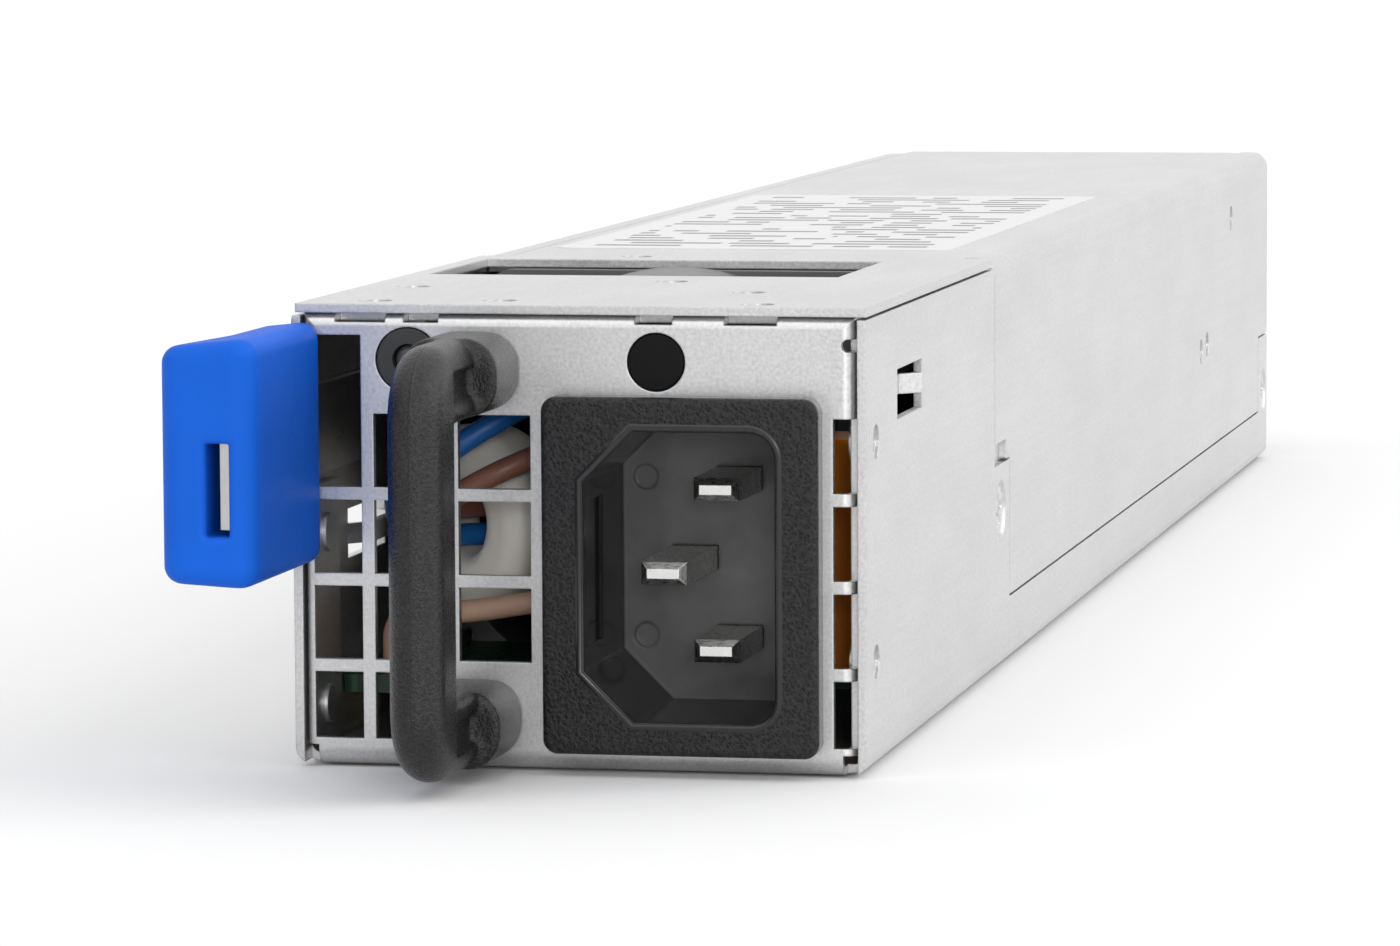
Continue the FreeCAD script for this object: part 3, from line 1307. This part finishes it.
def make_transformer():
    """Split ferrite core round a winding."""
    half = "transformer_width / 2"
    front = "(case_length - transformer_rear)"
    middle = f"({front} + transformer_depth / 2)"
    core = new_body("transformer_core")
    frame = new_sketch(core, "XZ_Plane", f"-({middle} - core_depth / 2)")
    low = f"({BOARD_TOP} + core_leg)"
    high = f"({BOARD_TOP} + transformer_height)"
    left = f"(transformer_x - {half})"
    right = f"(transformer_x + {half})"
    rectangle(frame, left, right, BOARD_TOP, high)
    rectangle(frame, f"{left} + core_leg", f"{right} - core_leg", low, f"{high} - core_leg")
    pad(core, frame, "core_depth", reverse=True)
    coil = new_body("transformer_winding")
    section = new_sketch(coil, "XY_Plane", low)
    rectangle(section, f"{left} + core_leg", f"{right} - core_leg",
              front, f"{front} + transformer_depth")
    pad(coil, section, "transformer_height - 2 * core_leg")
    front_y = size("case_length") - size("transformer_rear")
    rear_y = front_y + size("transformer_depth")
    base = size("board_low") + size("board_thick") + size("core_leg")
    upright = (base, base + size("transformer_height") - 2 * size("core_leg"))
    sharp = [name for y in (front_y, rear_y) for name in edges_at(coil, y=y, z=upright)
             if name not in edges_at(coil, y=y, z=upright[0]) + edges_at(coil, y=y, z=upright[1])]
    fillet(coil, sharp, "core_leg / 2")


def make_small_parts():
    """Relay, output capacitors and the upright control board."""
    keep(block("relay", ("relay_left", "(relay_left + relay_width)"),
               ("relay_front", "(relay_front + relay_length)"),
               (BOARD_TOP, f"({BOARD_TOP} + relay_height)")), "relay")
    cans = []
    for row in range(2):
        for column in range(3):
            cans.append(rod(
                f"output_can_{row}_{column}",
                (f"choke_x + {column - 1} * can_pitch", f"case_length - can_rear + {row} * can_pitch",
                 BOARD_TOP),
                "can_radius", "can_height",
            ))
    group("output_capacitors", cans)
    left = f"({BOARD_LEFT} + board_thick)"
    keep(block("control_board", (left, f"({left} + board_thick)"),
               ("control_front", "(control_front + control_length)"),
               (BOARD_TOP, f"({BOARD_TOP} + control_height)")), "control_board")


def make_power_parts():
    wound_ring("choke", "choke_front")
    wound_ring("inductor", "case_length - inductor_rear")
    make_bulk_capacitors()
    make_heatsinks()
    make_transformer()
    make_small_parts()


def tube_along(points, radius):
    """A round tube through points, with arcs as large as the runs allow."""
    corners = [FreeCAD.Vector(*point) for point in points]
    edges = []
    start = corners[0]
    for before, corner, after in zip(corners, corners[1:], corners[2:]):
        inward = (before - corner).normalize()
        outward = (after - corner).normalize()
        turn = math.pi - inward.getAngle(outward)
        setback = 0.45 * min((before - corner).Length, (after - corner).Length)
        bend = setback / math.tan(turn / 2)
        first = corner + inward * setback
        last = corner + outward * setback
        centre = corner + (inward + outward).normalize() * (bend / math.cos(turn / 2))
        middle = centre + (corner - centre).normalize() * bend
        edges.append(Part.LineSegment(start, first).toShape())
        edges.append(Part.Arc(first, middle, last).toShape())
        start = last
    edges.append(Part.LineSegment(start, corners[-1]).toShape())
    path = Part.Wire(edges)
    direction = (corners[1] - corners[0]).normalize()
    ring = Part.Wire(Part.makeCircle(radius, corners[0], direction))
    tube = path.makePipeShell([ring], True, False)
    return tube if tube.Volume > 0 else tube.reversed()


def make_wire(label, points, radius):
    """A wire held inside the case, along a hand-chosen route from the panel's front face."""
    wire = doc.addObject("Part::Feature", label)
    wire.Shape = tube_along(points, radius)
    wire.Placement.Base.y = -size("case_length") / 2
    return keep(wire, label)


def make_wires():
    """Inlet wires through the core to the filter board, a loop before it, and two wires past the fan."""
    radius = size("wire_radius")
    tail = size("inlet_body_depth") + size("pin_tail")
    board = size("board_low") + size("board_thick")
    pin_x = size("inlet_x") + size("pin_row") / 2
    earth_x = size("inlet_x") - size("pin_row") / 2
    earth_z = size("inlet_z")
    neutral_z = earth_z + size("pin_pitch") / 2
    line_z = earth_z - size("pin_pitch") / 2
    make_wire("neutral_wire", [
        (pin_x, tail, neutral_z), (pin_x, tail + 4.5, neutral_z), (5.5, 33, 29), (-2.5, 27.5, 32.5),
        (-4.4, 18, 32.2), (-8, 11.5, 30.2), (-13.2, 9.6, 27), (-19.4, 11, 22), (-18.8, 14.6, 18.4),
        (-13.2, 20, 18.3), (-9.6, 25.1, 17.8), (-9, 29, 13), (-9, 29, board),
    ], radius)
    make_wire("line_wire", [
        (pin_x, tail, line_z), (pin_x, tail + 4.5, line_z), (5.5, 33, 15.5), (-1.4, 28.5, 22.5),
        (-2.4, 20, 27), (-5.2, 11.6, 26.6), (-9.8, 9.4, 24.6), (-14, 10.6, 22.2), (-16.2, 13.6, 21),
        (-13.2, 20, 20.8), (-9.4, 25.4, 20.6), (-5, 29.4, 15), (-5, 29.4, board),
    ], radius)
    make_wire("loop_wire", [
        (-2.6, 13.2, board), (-2.6, 13.2, 12.4), (-5.5, 11.2, 13.4), (-13, 10.8, 12.2),
        (-19.6, 12.6, 12), (-19.6, 12.6, board),
    ], radius)
    make_wire("earth_wire", [
        (earth_x, tail, earth_z), (earth_x, tail + 4.5, earth_z), (9.5, 34, 19), (14, 33.5, 14.5),
        (14.4, 33, 10), (14.4, 33, board),
    ], radius)
    front = size("filter_rear") - 1.6
    rear = size("main_front") + 9
    wall = size("case_width") / 2
    for label, inset, height in (("link_wire_line", 8.05, 13.5), ("link_wire_neutral", 5.55, 17.0)):
        across = wall - inset
        make_wire(label, [
            (across, front, board), (across, front, height), (across, front + 9, height + 1),
            (across, (front + rear) / 2, height - 0.6), (across, rear - 9, height + 1),
            (across, rear, height), (across, rear, board),
        ], radius)


STEPS = (
    make_chassis, make_cover, make_case_screws, make_inlet, make_pins, make_handle, make_handle_screws,
    make_indicators, make_latch_arm, make_latch_foot, make_release_tab, make_fan_frame, make_fan_rotor,
    make_fan_motor, make_boards, make_board_fixings, make_filter_parts, make_power_parts, make_wires,
)
for make in STEPS:
    make()
doc.recompute()

for item in doc.Objects:
    if "Invalid" in item.State or "Error" in item.State:
        raise ValueError(f"{item.Label} failed: {item.State}")
for node in nodes:
    if node.Shape.isNull() or not node.Shape.isValid():
        raise ValueError(f"{node.Label} has no valid shape")
os.makedirs("parts", exist_ok=True)
for node in nodes:
    node.Shape.exportStep(f"parts/{node.Label}.step")
print(len(nodes), "nodes written")
